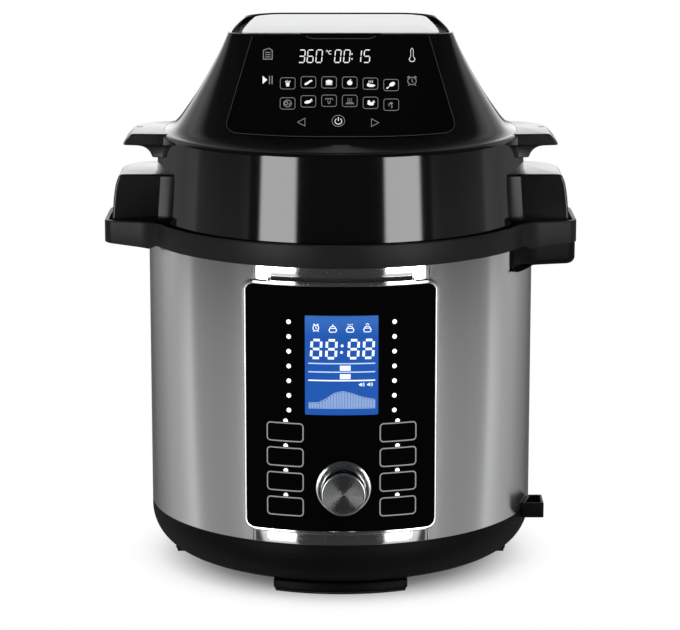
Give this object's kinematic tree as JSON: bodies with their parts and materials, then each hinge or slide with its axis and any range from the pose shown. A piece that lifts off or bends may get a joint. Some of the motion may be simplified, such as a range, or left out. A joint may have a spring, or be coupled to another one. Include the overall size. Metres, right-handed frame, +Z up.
{
  "type": "electric pressure cooker",
  "caption": "Countertop electric pressure cooker with a steel body, a curved control panel with display, keys and knob, an inner pot, and a lift-off air-fry lid with heater and fan.",
  "frame": {"origin": "centre of the cooker's footprint, on the surface that it stands on", "axes": "+Z up, the control panel faces -Y, +X to the right as seen from the front"},
  "size_m": [0.338, 0.326, 0.3885],
  "materials": {
    "brushed_steel": "satin brushed around the body",
    "polished_steel": "polished",
    "chrome": "polished",
    "knob_metal": "spun face",
    "top_metal": "light brushed",
    "black_plastic": "fine matte grain",
    "gloss_black": "high gloss",
    "panel_black": "glass-smooth black",
    "display_blue": "backlit display",
    "light_white": "clear lens over a lamp",
    "rubber_black": "matte",
    "tin_sheet": "zinc-plated sheet",
    "pot_steel": "brushed round",
    "cast_aluminium": "cast and turned",
    "steel_rod": "drawn",
    "dark_steel": "heat-darkened",
    "inner_plastic": "plain",
    "board_green": "solder mask",
    "component_grey": "plain",
    "pin_brass": "plated"
  },
  "bodies": {
    "base": {"outer_shell": "brushed_steel", "front_strip": "polished_steel", "base_shell": "black_plastic", "bottom_cover": "tin_sheet", "cover_screws": "tin_sheet", "feet": "black_plastic", "foot_pads": "rubber_black", "upper_ring": "black_plastic", "socket_housing": "black_plastic", "lid_socket": "component_grey", "pot_liner": "tin_sheet", "heater_posts": "tin_sheet", "heater_plate": "cast_aluminium", "sensor_guide": "inner_plastic", "sensor_spring": "steel_rod", "pressure_switch": "component_grey", "power_board": "board_green", "power_inlet": "black_plastic", "control_housing": "black_plastic", "control_board": "board_green", "tact_switches": "component_grey", "encoder": "steel_rod", "lcd_module": "display_blue", "panel_glass": "panel_black", "panel_frame": "chrome", "indicator_lenses": "light_white", "knob_collar": "chrome", "spoon_holder": "black_plastic", "cup_rails": "black_plastic"},
    "lid": {"lid_skirt": "gloss_black", "lid_dome": "gloss_black", "vent_frame": "black_plastic", "top_plate": "top_metal", "lid_panel": "panel_black", "lid_board": "board_green", "lid_handles": "gloss_black", "side_blocks": "gloss_black", "plug_pins": "pin_brass", "lid_chamber": "tin_sheet", "heat_shield": "tin_sheet", "heating_element": "dark_steel", "guard_grille": "steel_rod", "lid_bracket": "tin_sheet", "fan_motor": "dark_steel"},
    "rotor": {"rotor_shaft": "steel_rod", "hot_fan": "dark_steel", "cooling_fan": "inner_plastic"},
    "pot": {"inner_pot": "pot_steel"},
    "sensor": {"sensor_button": "cast_aluminium"},
    "knob": {"knob": "knob_metal", "encoder_shaft": "steel_rod"},
    "cup": {"condensate_cup": "black_plastic"},
    "key_left_1": {"key_left_1": "gloss_black"},
    "key_left_2": {"key_left_2": "gloss_black"},
    "key_left_3": {"key_left_3": "gloss_black"},
    "key_left_4": {"key_left_4": "gloss_black"},
    "key_right_1": {"key_right_1": "gloss_black"},
    "key_right_2": {"key_right_2": "gloss_black"},
    "key_right_3": {"key_right_3": "gloss_black"},
    "key_right_4": {"key_right_4": "gloss_black"}
  },
  "joints": [
    {"name": "lid_lift", "type": "slide", "parent": "base", "child": "lid", "axis": [0, 0, 1], "range_m": [0, 0.4]},
    {"name": "pot_lift", "type": "slide", "parent": "base", "child": "pot", "axis": [0, 0, 1], "range_m": [0, 0.19]},
    {"name": "rotor_spin", "type": "hinge", "parent": "lid", "child": "rotor", "pos_m": [0, 0, 0.315], "axis": [0, 0, 1], "continuous": true},
    {"name": "sensor_press", "type": "slide", "parent": "base", "child": "sensor", "axis": [0, 0, -1], "range_m": [0, 0.0025], "stiffness_N_per_m": 1500, "springref_m": -0.001, "deforming": ["sensor_spring"]},
    {"name": "knob_turn", "type": "hinge", "parent": "base", "child": "knob", "pos_m": [0.002, -0.15, 0.085], "axis": [0, -1, 0], "continuous": true},
    {"name": "cup_pull", "type": "slide", "parent": "base", "child": "cup", "axis": [0, 1, 0], "range_m": [0, 0.026]},
    {"name": "key_left_1_press", "type": "slide", "parent": "base", "child": "key_left_1", "axis": [0.2681, 0.9634, 0], "range_m": [0, 0.0006], "stiffness_N_per_m": 900, "springref_m": -0.0006},
    {"name": "key_left_2_press", "type": "slide", "parent": "base", "child": "key_left_2", "axis": [0.2681, 0.9634, 0], "range_m": [0, 0.0006], "stiffness_N_per_m": 900, "springref_m": -0.0006},
    {"name": "key_left_3_press", "type": "slide", "parent": "base", "child": "key_left_3", "axis": [0.2681, 0.9634, 0], "range_m": [0, 0.0006], "stiffness_N_per_m": 900, "springref_m": -0.0006},
    {"name": "key_left_4_press", "type": "slide", "parent": "base", "child": "key_left_4", "axis": [0.2681, 0.9634, 0], "range_m": [0, 0.0006], "stiffness_N_per_m": 900, "springref_m": -0.0006},
    {"name": "key_right_1_press", "type": "slide", "parent": "base", "child": "key_right_1", "axis": [-0.278, 0.9606, 0], "range_m": [0, 0.0006], "stiffness_N_per_m": 900, "springref_m": -0.0006},
    {"name": "key_right_2_press", "type": "slide", "parent": "base", "child": "key_right_2", "axis": [-0.278, 0.9606, 0], "range_m": [0, 0.0006], "stiffness_N_per_m": 900, "springref_m": -0.0006},
    {"name": "key_right_3_press", "type": "slide", "parent": "base", "child": "key_right_3", "axis": [-0.278, 0.9606, 0], "range_m": [0, 0.0006], "stiffness_N_per_m": 900, "springref_m": -0.0006},
    {"name": "key_right_4_press", "type": "slide", "parent": "base", "child": "key_right_4", "axis": [-0.278, 0.9606, 0], "range_m": [0, 0.0006], "stiffness_N_per_m": 900, "springref_m": -0.0006}
  ],
  "couplings": [
    {"joint": "pot_lift", "follows": "lid_lift", "ratio": 0.45}
  ]
}
